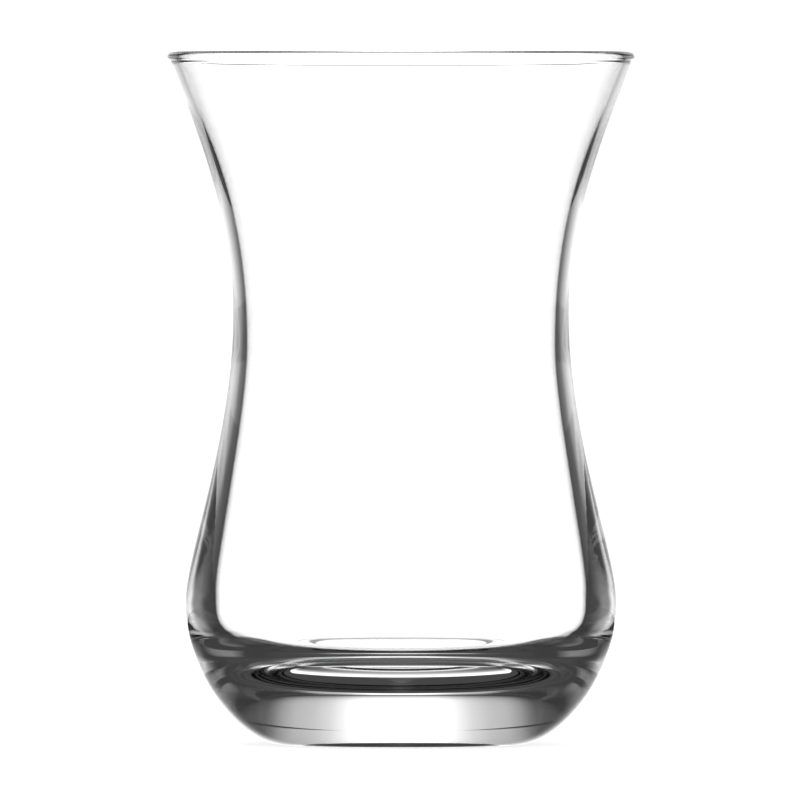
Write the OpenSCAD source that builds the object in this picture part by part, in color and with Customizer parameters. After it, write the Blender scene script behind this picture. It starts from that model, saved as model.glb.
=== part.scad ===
// Clear tea glass with a flared mouth, a narrow waist and a round belly.
// It is one wall of pressed glass, round about the upright axis, on a thick solid base.
// The origin is the middle of the underside, and the glass stands on the plane z = 0.

/* [Outside] */
// Height from the table to the top of the lip
glass_h = 88; // [70:0.5:110]
// Diameter across the lip at its widest
mouth_d = 59.5; // [48:0.1:72]
// Outside diameter of the narrowest part of the waist
waist_d = 42.7; // [34:0.1:52]
// Height of the narrowest part of the waist
waist_z = 54.9; // [44:0.1:64]
// Outside diameter of the widest part of the belly
belly_d = 54.8; // [45:0.1:66]
// Height of the widest part of the belly
belly_z = 18.1; // [15:0.1:24]
// Outside diameter of the flat ring that the glass stands on
foot_d = 30.4; // [22:0.1:36]

/* [Outside curves] */
// Angle between the outside of the flare and the upright, just under the lip
flare_angle = 20; // [12:0.5:26]
// Share of the height from waist to lip over which the flare leans towards that angle
flare_lean = 0.22; // [0.1:0.01:0.4]
// Share of the height from waist to lip over which the wall stays close to the waist
waist_upper_hold = 0.4; // [0.2:0.01:0.5]
// Share of the height from belly to waist over which the wall stays close to the waist
waist_lower_hold = 0.44; // [0.3:0.01:0.6]
// Share of the height from belly to waist over which the wall stays close to the belly
belly_upper_hold = 0.175; // [0.1:0.005:0.35]
// Share of the height of the belly over which the wall stays upright below its widest part
belly_lower_hold = 0.54; // [0.3:0.01:0.6]
// Share of the width from foot to belly over which the wall stays close to the table
foot_hold = 0.38; // [0.2:0.005:0.6]

/* [Lip] */
// Thickness of the rounded lip
lip_t = 1.5; // [1.2:0.05:2.2]
// Height of the lip, from the neck where it meets the plain wall
lip_h = 1.35; // [1.3:0.05:3]

/* [Bore] */
// Thickness of the wall just under the lip, measured level
mouth_wall = 1.1; // [0.8:0.05:1.8]
// Thickness of the wall from the waist outside to the narrowest part of the bore
waist_wall = 1.75; // [1.2:0.05:3]
// Thickness of the wall from the belly outside to the widest part of the bore
belly_wall = 3.8; // [2:0.05:6]
// Thickness of the solid base in the middle
base_t = 9.5; // [8:0.1:16]
// Height from the floor of the bore to its widest part
bore_belly_h = 9.4; // [4:0.1:11]
// How far the narrowest part of the bore lies below the narrowest part outside
bore_waist_drop = 4.5; // [0:0.1:8]

/* [Bore curves] */
// Angle between the bore and the upright, just under the lip
bore_angle = 20; // [12:0.5:26]
// Share of the height from waist to lip over which the bore leans towards that angle
bore_lean = 0.355; // [0.2:0.005:0.45]
// Share of the height from waist to lip over which the bore stays close to its waist
bore_waist_upper_hold = 0.5; // [0.3:0.01:0.55]
// Share of the height from belly to waist over which the bore stays close to its waist
bore_waist_lower_hold = 0.27; // [0.15:0.01:0.5]
// Share of the height from belly to waist over which the bore stays close to its belly
bore_belly_upper_hold = 0.155; // [0.1:0.005:0.35]
// Share of the height from floor to belly over which the bore stays upright
bore_belly_lower_hold = 0.74; // [0.3:0.01:0.9]
// Share of the width of the bore over which its floor stays level
floor_hold = 0.9; // [0.3:0.01:0.95]

/* [Foot] */
// Width of the flat ring that the glass stands on
foot_flat_w = 1.2; // [0.6:0.1:2.4]
// Width of the slope from that ring up into the hollow under the base
foot_slope_w = 3; // [1:0.1:5]
// Height of the hollow under the base
foot_hollow_h = 0.7; // [0.6:0.1:3]

/* [Hidden] */
// Chords on one long curve of the wall, on one quarter of the lip and on half of the foot's slope
wall_steps = 14;
lip_steps = 6;
slope_steps = 4;
$fn = 180;

// A point on the cubic curve that leaves a towards b and reaches d from c
function curve_point(a, b, c, d, t) =
    pow(1 - t, 3) * a + 3 * pow(1 - t, 2) * t * b + 3 * (1 - t) * pow(t, 2) * c + pow(t, 3) * d;

// That curve in equal steps, without its last point, which starts the next curve
function curve(a, b, c, d, steps) =
    [for (i = [0 : steps - 1]) curve_point(a, b, c, d, i / steps)];

// A point a share of the way from one value to another
function part_way(from, to, share) = from + share * (to - from);

// Quarters of an ellipse from a to d, the first leaving a upright and the second leaving it level
quarter = 4 / 3 * (sqrt(2) - 1);
function bend_upright(a, d, steps) =
    curve(a, [a[0], part_way(a[1], d[1], quarter)], [part_way(d[0], a[0], quarter), d[1]], d, steps);
function bend_level(a, d, steps) =
    curve(a, [part_way(a[0], d[0], quarter), a[1]], [d[0], part_way(d[1], a[1], quarter)], d, steps);

// A point at a height above another, on a line at an angle to the upright
function up_slope(from, angle, height) = from + height * [tan(angle), 1];

// Underside: the shallow hollow, the slope round it and the inner edge of the flat ring
foot_r = foot_d / 2;
foot_flat_r = foot_r - foot_flat_w;
hollow_r = foot_flat_r - foot_slope_w;
foot_slope_mid = [hollow_r + foot_slope_w / 2, foot_hollow_h / 2];
underside = concat(
    [[0, foot_hollow_h]],
    bend_level([hollow_r, foot_hollow_h], foot_slope_mid, slope_steps),
    bend_upright(foot_slope_mid, [foot_flat_r, 0], slope_steps),
    [[foot_flat_r, 0]]
);

// The lip is a round bead, and the wall runs into it at the neck
lip_r = lip_t / 2;
lip_mid_r = mouth_d / 2 - lip_r;
lip_mid_z = glass_h - lip_r;
neck_z = glass_h - lip_h;
neck_r = lip_mid_r + mouth_wall / 2 - (lip_mid_z - neck_z) * tan(flare_angle);
neck = [neck_r, neck_z];
neck_bore = [neck_r - mouth_wall, neck_z];

// Outside of the wall, from the flat ring up to the neck
foot = [foot_r, 0];
belly = [belly_d / 2, belly_z];
waist = [waist_d / 2, waist_z];
flare_h = neck_z - waist_z;
cone_h = waist_z - belly_z;
outside = concat(
    curve(foot, [part_way(foot_r, belly[0], foot_hold), 0], belly - [0, belly_z * belly_lower_hold],
        belly, wall_steps),
    curve(belly, belly + [0, cone_h * belly_upper_hold], waist - [0, cone_h * waist_lower_hold],
        waist, wall_steps),
    curve(waist, waist + [0, flare_h * waist_upper_hold],
        up_slope(neck, flare_angle, -flare_h * flare_lean), neck, wall_steps)
);

// The lip, from the neck outside, over the top and down to the neck in the bore
lip_out = [mouth_d / 2, lip_mid_z];
lip_top = [lip_mid_r, glass_h];
lip_in = [lip_mid_r - lip_r, lip_mid_z];
lip_lead = (lip_mid_z - neck_z) / 2;
lip = concat(
    curve(neck, up_slope(neck, flare_angle, lip_lead), lip_out - [0, lip_lead], lip_out, lip_steps),
    bend_upright(lip_out, lip_top, lip_steps),
    bend_level(lip_top, lip_in, lip_steps),
    curve(lip_in, lip_in - [0, lip_lead], up_slope(neck_bore, bore_angle, lip_lead), neck_bore,
        lip_steps)
);

// The bore, from the neck down to the middle of its floor
bore_waist = waist - [waist_wall, bore_waist_drop];
bore_belly = [belly[0] - belly_wall, base_t + bore_belly_h];
bore_flare_h = neck_z - bore_waist[1];
bore_cone_h = bore_waist[1] - bore_belly[1];
bore = concat(
    curve(neck_bore, up_slope(neck_bore, bore_angle, -bore_flare_h * bore_lean),
        bore_waist + [0, bore_flare_h * bore_waist_upper_hold], bore_waist, wall_steps),
    curve(bore_waist, bore_waist - [0, bore_cone_h * bore_waist_lower_hold],
        bore_belly + [0, bore_cone_h * bore_belly_upper_hold], bore_belly, wall_steps),
    curve(bore_belly, bore_belly - [0, bore_belly_h * bore_belly_lower_hold],
        [bore_belly[0] * floor_hold, base_t], [0, base_t], wall_steps),
    [[0, base_t]]
);

module glass() {
    color("whitesmoke", 0.4)
        rotate_extrude()
            polygon(concat(underside, outside, lip, bore));
}

glass();
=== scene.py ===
import math

import bmesh
import bpy
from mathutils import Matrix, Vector


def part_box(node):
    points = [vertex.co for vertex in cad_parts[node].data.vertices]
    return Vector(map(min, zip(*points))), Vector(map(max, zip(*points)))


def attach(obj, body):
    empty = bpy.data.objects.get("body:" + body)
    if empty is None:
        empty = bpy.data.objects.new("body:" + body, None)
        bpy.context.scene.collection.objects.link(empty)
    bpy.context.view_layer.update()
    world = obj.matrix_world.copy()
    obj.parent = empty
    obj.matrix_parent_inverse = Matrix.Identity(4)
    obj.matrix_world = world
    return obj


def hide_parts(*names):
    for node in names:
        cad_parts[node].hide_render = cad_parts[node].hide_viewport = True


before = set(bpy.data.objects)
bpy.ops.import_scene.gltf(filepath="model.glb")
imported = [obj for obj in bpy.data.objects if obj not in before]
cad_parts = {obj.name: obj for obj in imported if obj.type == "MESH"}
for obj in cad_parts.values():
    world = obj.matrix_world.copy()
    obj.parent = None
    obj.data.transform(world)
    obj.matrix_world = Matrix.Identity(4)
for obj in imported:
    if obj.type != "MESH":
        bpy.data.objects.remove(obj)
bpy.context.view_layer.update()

# The glass is one wall of clear soda-lime glass, pressed in a round mould and then flame-polished,
# which leaves a round lip, a slightly waved skin and a faint ring low on the belly. It stands on
# a knurled ring under a thick solid base. All sizes are in metres.
glass_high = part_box("glass")[1]
mouth_radius = glass_high.x
glass_height = glass_high.z

lip_radius = 0.00075
lip_height = 0.00135
mouth_wall = 0.0011
flare_angle = math.radians(20)
flare_lean = 0.22
waist_radius = 0.02135
waist_height = 0.0549
waist_upper_hold = 0.4
waist_lower_hold = 0.44
belly_radius = 0.0274
belly_height = 0.0181
belly_upper_hold = 0.175
belly_lower_hold = 0.54
foot_radius = 0.0152
foot_hold = 0.38
foot_flat_width = 0.0012
foot_slope_width = 0.003
foot_hollow_height = 0.0007
waist_wall = 0.00175
belly_wall = 0.0038
base_thickness = 0.0095
bore_belly_rise = 0.0094
bore_waist_drop = 0.0045
bore_angle = math.radians(20)
bore_lean = 0.355
bore_waist_upper_hold = 0.5
bore_waist_lower_hold = 0.27
bore_belly_upper_hold = 0.155
bore_belly_lower_hold = 0.74
floor_hold = 0.9
quarter_round = 4 / 3 * (math.sqrt(2) - 1)
knurl_grooves = 120
knurl_depth = 0.0001

lip_centre_radius = mouth_radius - lip_radius
lip_centre_height = glass_height - lip_radius
neck_height = glass_height - lip_height
lip_lead = (lip_centre_height - neck_height) / 2
neck_radius = lip_centre_radius + mouth_wall / 2
neck_radius -= (lip_centre_height - neck_height) * math.tan(flare_angle)
flare_rise = neck_height - waist_height
cone_rise = waist_height - belly_height
bore_waist_height = waist_height - bore_waist_drop
bore_belly_height = base_thickness + bore_belly_rise
bore_waist_radius = waist_radius - waist_wall
bore_belly_radius = belly_radius - belly_wall
bore_flare_rise = neck_height - bore_waist_height
bore_cone_rise = bore_waist_height - bore_belly_height
slope_radius = foot_radius - foot_flat_width - foot_slope_width / 2
half_slope = foot_slope_width / 2


def upright(radius, height, below, above):
    """An outline point where the wall is upright, with how far its curve holds below and above."""
    return (radius, height), (0, -below), (0, above)


def leaning(radius, height, angle, below, above):
    """An outline point where the wall leans outwards at an angle to the upright."""
    lean = math.tan(angle)
    return (radius, height), (-below * lean, -below), (above * lean, above)


def level(radius, height, before, after):
    """An outline point where the surface is level, with how far its curve holds before and after."""
    return (radius, height), (before, 0), (after, 0)


outline = [
    level(0, foot_hollow_height, 0, (slope_radius - half_slope) / 3),
    level(slope_radius - half_slope, foot_hollow_height, -half_slope, half_slope * quarter_round),
    ((slope_radius, foot_hollow_height / 2),
     (0, foot_hollow_height / 2 * quarter_round),
     (0, -foot_hollow_height / 2 * quarter_round)),
    level(foot_radius - foot_flat_width, 0, -half_slope * quarter_round, foot_flat_width / 3),
    level(foot_radius, 0, -foot_flat_width / 3, (belly_radius - foot_radius) * foot_hold),
    upright(belly_radius, belly_height, belly_height * belly_lower_hold, cone_rise * belly_upper_hold),
    upright(waist_radius, waist_height, cone_rise * waist_lower_hold, flare_rise * waist_upper_hold),
    leaning(neck_radius, neck_height, flare_angle, flare_rise * flare_lean, lip_lead),
    upright(mouth_radius, lip_centre_height, lip_lead, lip_radius * quarter_round),
    level(lip_centre_radius, glass_height, lip_radius * quarter_round, -lip_radius * quarter_round),
]
bore_outline = [
    upright(lip_centre_radius - lip_radius, lip_centre_height, lip_lead, lip_radius * quarter_round),
    leaning(neck_radius - mouth_wall, neck_height, bore_angle, bore_flare_rise * bore_lean, lip_lead),
    upright(bore_waist_radius, bore_waist_height,
            bore_cone_rise * bore_waist_lower_hold, bore_flare_rise * bore_waist_upper_hold),
    upright(bore_belly_radius, bore_belly_height,
            bore_belly_rise * bore_belly_lower_hold, bore_cone_rise * bore_belly_upper_hold),
    level(0, base_thickness, bore_belly_radius * floor_hold, 0),
]
# The bore runs downwards, so its points swap what comes before them and what comes after
outline += [(place, above, below) for place, below, above in bore_outline[:-1]]
outline.append(bore_outline[-1])

outline_curve = bpy.data.curves.new("glass_outline", "CURVE")
outline_curve.dimensions = "3D"
outline_curve.resolution_u = 20
spline = outline_curve.splines.new("BEZIER")
spline.bezier_points.add(len(outline) - 1)
for point, (place, before, after) in zip(spline.bezier_points, outline):
    centre = Vector((place[0], 0, place[1]))
    point.handle_left_type = "FREE"
    point.handle_right_type = "FREE"
    point.co = centre
    point.handle_left = centre + Vector((before[0], 0, before[1]))
    point.handle_right = centre + Vector((after[0], 0, after[1]))
outline_object = bpy.data.objects.new("glass_outline", outline_curve)
wall = bmesh.new()
wall.from_mesh(outline_object.to_mesh())
bpy.data.objects.remove(outline_object)

# One step of the turn lands in each groove of the knurled ring, and one between each pair
bmesh.ops.spin(wall, geom=wall.verts[:] + wall.edges[:], cent=(0, 0, 0), axis=(0, 0, 1),
               angle=math.tau, steps=2 * knurl_grooves, use_merge=True, use_duplicate=False)
bmesh.ops.remove_doubles(wall, verts=wall.verts, dist=0.000002)
bmesh.ops.dissolve_degenerate(wall, edges=wall.edges, dist=0.000001)
bmesh.ops.recalc_face_normals(wall, faces=wall.faces)

# The grooves run outwards across the ring, and stop short of both its edges
flush = 0.000001
for vert in wall.verts:
    ring_share = (math.hypot(vert.co.x, vert.co.y) - foot_radius) / foot_flat_width + 1
    if vert.co.z < flush and 0 < ring_share < 1:
        groove = (1 - math.cos(knurl_grooves * math.atan2(vert.co.y, vert.co.x))) / 2
        vert.co.z += knurl_depth * groove * math.sin(math.pi * ring_share)
for face in wall.faces:
    face.smooth = True
glass_mesh = bpy.data.meshes.new("glass_wall")
wall.to_mesh(glass_mesh)
wall.free()
glass_wall = bpy.data.objects.new("glass_wall", glass_mesh)
bpy.context.scene.collection.objects.link(glass_wall)

clear_glass = bpy.data.materials.new("clear_glass")
clear_glass.use_nodes = True
shader = clear_glass.node_tree.nodes["Principled BSDF"]
shader.inputs["Base Color"].default_value = (1, 1, 1, 1)
shader.inputs["Roughness"].default_value = 0
shader.inputs["IOR"].default_value = 1.52
shader.inputs["Transmission Weight"].default_value = 1
glass_nodes = clear_glass.node_tree.nodes
glass_links = clear_glass.node_tree.links
glass_place = glass_nodes.new("ShaderNodeTexCoord")
glass_split = glass_nodes.new("ShaderNodeSeparateXYZ")
glass_links.new(glass_place.outputs["Object"], glass_split.inputs["Vector"])

# Slow waves all over the skin, left by the fire that polished it
waves = glass_nodes.new("ShaderNodeTexNoise")
waves.inputs["Scale"].default_value = 70
waves.inputs["Detail"].default_value = 1
waves.inputs["Roughness"].default_value = 0.35
glass_links.new(glass_place.outputs["Object"], waves.inputs["Vector"])
wave_bump = glass_nodes.new("ShaderNodeBump")
wave_bump.inputs["Strength"].default_value = 0.5
wave_bump.inputs["Distance"].default_value = 0.00005
glass_links.new(waves.outputs["Fac"], wave_bump.inputs["Height"])

# A faint ring low on the belly, where the two parts of the mould met
joint_height = 0.0144
joint_reach = 0.0005
joint_offset = glass_nodes.new("ShaderNodeMath")
joint_offset.operation = "SUBTRACT"
joint_offset.inputs[1].default_value = joint_height
glass_links.new(glass_split.outputs["Z"], joint_offset.inputs[0])
joint_distance = glass_nodes.new("ShaderNodeMath")
joint_distance.operation = "ABSOLUTE"
glass_links.new(joint_offset.outputs["Value"], joint_distance.inputs[0])
joint_ring = glass_nodes.new("ShaderNodeMapRange")
joint_ring.interpolation_type = "SMOOTHSTEP"
joint_ring.inputs["From Max"].default_value = joint_reach
joint_ring.inputs["To Min"].default_value = 1
joint_ring.inputs["To Max"].default_value = 0
glass_links.new(joint_distance.outputs["Value"], joint_ring.inputs["Value"])
joint_bump = glass_nodes.new("ShaderNodeBump")
joint_bump.inputs["Strength"].default_value = 0.5
joint_bump.inputs["Distance"].default_value = 0.000005
glass_links.new(joint_ring.outputs["Result"], joint_bump.inputs["Height"])
glass_links.new(wave_bump.outputs["Normal"], joint_bump.inputs["Normal"])
glass_links.new(joint_bump.outputs["Normal"], shader.inputs["Normal"])

# The standing ring is scuffed by tables, and the rest is clean and bright
scuffs = glass_nodes.new("ShaderNodeTexNoise")
scuffs.inputs["Scale"].default_value = 2500
scuffs.inputs["Detail"].default_value = 3
glass_links.new(glass_place.outputs["Object"], scuffs.inputs["Vector"])
ring_nearness = glass_nodes.new("ShaderNodeMapRange")
ring_nearness.inputs["From Max"].default_value = 0.00015
ring_nearness.inputs["To Min"].default_value = 0.3
ring_nearness.inputs["To Max"].default_value = 0
glass_links.new(glass_split.outputs["Z"], ring_nearness.inputs["Value"])
scuff_depth = glass_nodes.new("ShaderNodeMath")
scuff_depth.operation = "MULTIPLY"
glass_links.new(scuffs.outputs["Fac"], scuff_depth.inputs[0])
glass_links.new(ring_nearness.outputs["Result"], scuff_depth.inputs[1])
glass_links.new(scuff_depth.outputs["Value"], shader.inputs["Roughness"])
glass_mesh.materials.append(clear_glass)
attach(glass_wall, "root")
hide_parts("glass")

# The floor is a small round white table top, which fades into the white studio round it.
# Light that the glass mirrors passes through it.
floor_mesh = bpy.data.meshes.new("floor")
table = bmesh.new()
bmesh.ops.create_circle(table, cap_ends=True, segments=96, radius=0.066)
table.to_mesh(floor_mesh)
table.free()
floor = bpy.data.objects.new("floor", floor_mesh)
bpy.context.scene.collection.objects.link(floor)
white = bpy.data.materials.new("white_floor")
white.use_nodes = True
white_shader = white.node_tree.nodes["Principled BSDF"]
white_shader.inputs["Base Color"].default_value = (0.4, 0.4, 0.4, 1)
white_shader.inputs["Roughness"].default_value = 0.9
white_shader.inputs["Specular IOR Level"].default_value = 0
white_shader.inputs["Emission Color"].default_value = (1, 1, 1, 1)
white_path = white.node_tree.nodes.new("ShaderNodeLightPath")
glow = white.node_tree.nodes.new("ShaderNodeMix")
glow.inputs["A"].default_value = 1.3
glow.inputs["B"].default_value = 0.75
white.node_tree.links.new(white_path.outputs["Is Camera Ray"], glow.inputs["Factor"])
white.node_tree.links.new(glow.outputs["Result"], white_shader.inputs["Emission Strength"])
unseen = white.node_tree.nodes.new("ShaderNodeBsdfTransparent")
seen_or_not = white.node_tree.nodes.new("ShaderNodeMixShader")
white.node_tree.links.new(white_path.outputs["Glossy Depth"], seen_or_not.inputs["Fac"])
white.node_tree.links.new(white_shader.outputs["BSDF"], seen_or_not.inputs[1])
white.node_tree.links.new(unseen.outputs["BSDF"], seen_or_not.inputs[2])
white.node_tree.links.new(seen_or_not.outputs["Shader"],
                          white.node_tree.nodes["Material Output"].inputs["Surface"])
floor_mesh.materials.append(white)

# Under the floor lie dark cards to the left and right, which only show in what the glass mirrors.
card_mesh = bpy.data.meshes.new("dark_cards")
card = bmesh.new()
bmesh.ops.create_grid(card, x_segments=1, y_segments=1, size=0.3)
card.to_mesh(card_mesh)
card.free()
dark_cards = bpy.data.objects.new("dark_cards", card_mesh)
dark_cards.location.z = -0.0005
bpy.context.scene.collection.objects.link(dark_cards)
dark = bpy.data.materials.new("dark_cards")
dark.use_nodes = True
dark_nodes = dark.node_tree.nodes
dark_links = dark.node_tree.links
dark_nodes.remove(dark_nodes["Principled BSDF"])
card_place = dark_nodes.new("ShaderNodeTexCoord")
card_split = dark_nodes.new("ShaderNodeSeparateXYZ")
dark_links.new(card_place.outputs["Object"], card_split.inputs["Vector"])
card_side = dark_nodes.new("ShaderNodeMath")
card_side.operation = "ABSOLUTE"
dark_links.new(card_split.outputs["X"], card_side.inputs[0])
card_cover = dark_nodes.new("ShaderNodeMapRange")
card_cover.interpolation_type = "SMOOTHSTEP"
card_cover.inputs["From Min"].default_value = 0.045
card_cover.inputs["From Max"].default_value = 0.08
dark_links.new(card_side.outputs["Value"], card_cover.inputs["Value"])
dark_path = dark_nodes.new("ShaderNodeLightPath")
card_share = dark_nodes.new("ShaderNodeMath")
card_share.operation = "MULTIPLY"
card_share.use_clamp = True
dark_links.new(card_cover.outputs["Result"], card_share.inputs[0])
dark_links.new(dark_path.outputs["Glossy Depth"], card_share.inputs[1])
dark_clear = dark_nodes.new("ShaderNodeBsdfTransparent")
dark_glow = dark_nodes.new("ShaderNodeEmission")
dark_glow.inputs["Strength"].default_value = 0.05
dark_mix = dark_nodes.new("ShaderNodeMixShader")
dark_links.new(card_share.outputs["Value"], dark_mix.inputs["Fac"])
dark_links.new(dark_clear.outputs["BSDF"], dark_mix.inputs[1])
dark_links.new(dark_glow.outputs["Emission"], dark_mix.inputs[2])
dark_links.new(dark_mix.outputs["Shader"], dark_nodes["Material Output"].inputs["Surface"])
card_mesh.materials.append(dark)

# The studio is white all round, as seen straight through the glass, and darker overhead. Light that
# the glass mirrors comes from a soft white panel in front and another behind, with dark sides.
studio = bpy.data.worlds.new("studio")
bpy.context.scene.world = studio
studio.use_nodes = True
nodes = studio.node_tree.nodes
links = studio.node_tree.links
nodes.clear()
output = nodes.new("ShaderNodeOutputWorld")
background = nodes.new("ShaderNodeBackground")
background.inputs["Color"].default_value = (1, 1, 1, 1)
links.new(background.outputs["Background"], output.inputs["Surface"])
direction = nodes.new("ShaderNodeTexCoord")
split = nodes.new("ShaderNodeSeparateXYZ")
links.new(direction.outputs["Generated"], split.inputs["Vector"])
across = nodes.new("ShaderNodeMath")
across.operation = "ABSOLUTE"
links.new(split.outputs["X"], across.inputs[0])
along = nodes.new("ShaderNodeMath")
along.operation = "ABSOLUTE"
links.new(split.outputs["Y"], along.inputs[0])
turned = nodes.new("ShaderNodeMath")
turned.operation = "ARCTAN2"
links.new(across.outputs["Value"], turned.inputs[0])
links.new(along.outputs["Value"], turned.inputs[1])
quarter_turn = nodes.new("ShaderNodeMapRange")
quarter_turn.inputs["From Max"].default_value = math.pi / 2
links.new(turned.outputs["Value"], quarter_turn.inputs["Value"])
panel = nodes.new("ShaderNodeValToRGB")
stops = panel.color_ramp.elements
# Greys of the light at degrees off the middle of a panel, from the middle round to the side
middle_grey = 1
side_grey = 0.17
panel_greys = ((8, 1), (12, 0.76), (15, 0.58), (19, 0.46), (24, 0.4), (28, 0.28), (31, 0.16),
               (34, 0.09), (45, 0.055), (60, 0.035), (72, 0.035), (82, side_grey))
stops[0].color = (middle_grey, middle_grey, middle_grey, 1)
stops[-1].color = (side_grey, side_grey, side_grey, 1)
for degrees_off, grey in panel_greys:
    stops.new(degrees_off / 90).color = (grey, grey, grey, 1)
links.new(quarter_turn.outputs["Result"], panel.inputs["Fac"])
steepness = nodes.new("ShaderNodeMath")
steepness.operation = "ABSOLUTE"
links.new(split.outputs["Z"], steepness.inputs[0])
panel_height = nodes.new("ShaderNodeMapRange")
panel_height.interpolation_type = "SMOOTHSTEP"
panel_height.inputs["From Min"].default_value = 0.16
panel_height.inputs["From Max"].default_value = 0.45
panel_height.inputs["To Min"].default_value = 1.4
panel_height.inputs["To Max"].default_value = 0.12
links.new(steepness.outputs["Value"], panel_height.inputs["Value"])
front_or_back = nodes.new("ShaderNodeMapRange")
front_or_back.inputs["From Min"].default_value = -0.5
front_or_back.inputs["From Max"].default_value = 0
front_or_back.inputs["To Min"].default_value = 0.5
links.new(split.outputs["Y"], front_or_back.inputs["Value"])
panel_light = nodes.new("ShaderNodeMath")
panel_light.operation = "MULTIPLY"
links.new(panel.outputs["Color"], panel_light.inputs[0])
links.new(front_or_back.outputs["Result"], panel_light.inputs[1])
mirrored = nodes.new("ShaderNodeMath")
mirrored.operation = "MULTIPLY"
links.new(panel_light.outputs["Value"], mirrored.inputs[0])
links.new(panel_height.outputs["Result"], mirrored.inputs[1])
overhead = nodes.new("ShaderNodeMapRange")
overhead.interpolation_type = "SMOOTHSTEP"
overhead.inputs["From Min"].default_value = 0.25
overhead.inputs["From Max"].default_value = 0.6
overhead.inputs["To Min"].default_value = 0.04
overhead.inputs["To Max"].default_value = 0.06
links.new(split.outputs["Z"], overhead.inputs["Value"])
all_mirrored = nodes.new("ShaderNodeMath")
all_mirrored.operation = "MAXIMUM"
links.new(overhead.outputs["Result"], all_mirrored.inputs[0])
links.new(mirrored.outputs["Value"], all_mirrored.inputs[1])
surround = nodes.new("ShaderNodeMapRange")
surround.interpolation_type = "SMOOTHSTEP"
surround.inputs["From Min"].default_value = 0.47
surround.inputs["From Max"].default_value = 0.62
surround.inputs["To Min"].default_value = 1.8
surround.inputs["To Max"].default_value = 0.12
links.new(steepness.outputs["Value"], surround.inputs["Value"])
path = nodes.new("ShaderNodeLightPath")
through_glass = nodes.new("ShaderNodeMix")
links.new(path.outputs["Glossy Depth"], through_glass.inputs["Factor"])
links.new(surround.outputs["Result"], through_glass.inputs["A"])
links.new(all_mirrored.outputs["Value"], through_glass.inputs["B"])
is_plain = nodes.new("ShaderNodeMath")
is_plain.operation = "MAXIMUM"
links.new(path.outputs["Is Camera Ray"], is_plain.inputs[0])
links.new(path.outputs["Is Diffuse Ray"], is_plain.inputs[1])
strength = nodes.new("ShaderNodeMix")
strength.inputs["B"].default_value = 1.2
links.new(is_plain.outputs["Value"], strength.inputs["Factor"])
links.new(through_glass.outputs["Result"], strength.inputs["A"])
links.new(strength.outputs["Result"], background.inputs["Strength"])

# The camera stands level with the lip, far off behind a long lens.
camera_distance = 2.7
frame_width = 0.10156
camera_data = bpy.data.cameras.new("camera")
camera = bpy.data.objects.new("camera", camera_data)
bpy.context.scene.collection.objects.link(camera)
bpy.context.scene.camera = camera
camera_data.lens = camera_data.sensor_width * camera_distance / frame_width
camera_data.clip_start = 0.1
camera_data.clip_end = 100
aim_point = Vector((-0.000127, 0, 0.0437))
camera.location = (0, -camera_distance, 0.0873)
camera.rotation_mode = "QUATERNION"
camera.rotation_quaternion = (aim_point - camera.location).to_track_quat("-Z", "Y")

scene = bpy.context.scene
scene.view_settings.view_transform = "Standard"
scene.cycles.max_bounces = 32
scene.cycles.transmission_bounces = 32
scene.cycles.glossy_bounces = 16
